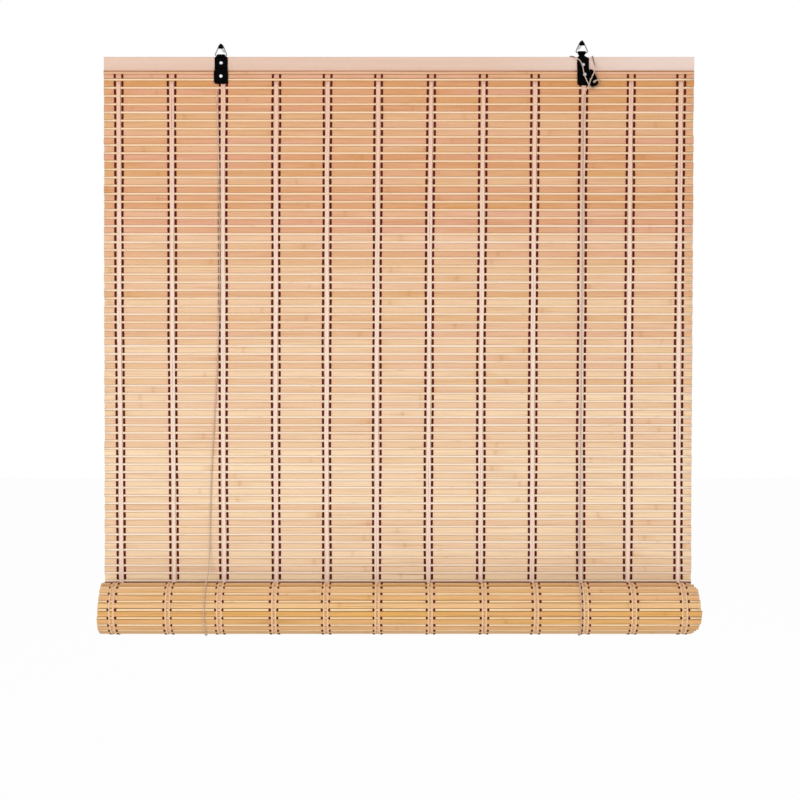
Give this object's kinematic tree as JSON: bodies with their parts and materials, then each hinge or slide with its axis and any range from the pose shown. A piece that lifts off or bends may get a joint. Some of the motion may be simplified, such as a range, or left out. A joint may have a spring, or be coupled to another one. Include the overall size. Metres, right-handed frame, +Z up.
{
  "type": "bamboo roll up blind",
  "caption": "Woven bamboo roll up blind, partly rolled, hung from a wood head rail on two ring hangers with lift cords tied off at one side.",
  "frame": {"origin": "on the wall plane, midway between the two wall hooks' shanks", "axes": "+X along the head rail to the right as seen from the room, -Y towards the room, +Z up"},
  "size_m": [0.61, 0.0884, 0.61],
  "materials": {
    "rail_wood": "planed, satin",
    "bamboo": "split bamboo, satin",
    "red_yarn": "twisted yarn",
    "pale_yarn": "twisted yarn",
    "black_steel": "black enamel",
    "bright_steel": "zinc plated",
    "cord": "braided cord"
  },
  "bodies": {
    "hooks": {"left_wall_hook": "black_steel", "right_wall_hook": "black_steel"},
    "rings": {"left_ring": "bright_steel", "right_ring": "bright_steel"},
    "blind": {"head_rail": "rail_wood", "hanging_mat": "bamboo", "rolled_mat": "bamboo", "bottom_batten": "rail_wood", "red_warp_yarns": "red_yarn", "pale_warp_bands": "pale_yarn", "rear_warp_bands": "pale_yarn", "left_hanger_plate": "black_steel", "right_hanger_plate": "black_steel", "left_plate_screws": "bright_steel", "right_plate_screws": "bright_steel", "cord_cleat": "black_steel", "cord_staples": "bright_steel", "left_lift_cord": "cord", "right_lift_cord": "cord", "left_fall_knot": "cord", "right_fall_knot": "cord", "left_tail_knot": "cord", "right_tail_knot": "cord"}
  },
  "joints": [
    {"name": "rings_on_hooks", "type": "hinge", "parent": "hooks", "child": "rings", "pos_m": [0.00245, -0.0127, 0.0023], "axis": [-1, 0, -0.0089], "range_deg": [0, 15]},
    {"name": "blind_on_rings", "type": "hinge", "parent": "rings", "child": "blind", "pos_m": [0.00245, -0.0127, -0.0093], "axis": [-1, 0, -0.0089], "range_deg": [0, 90]}
  ]
}
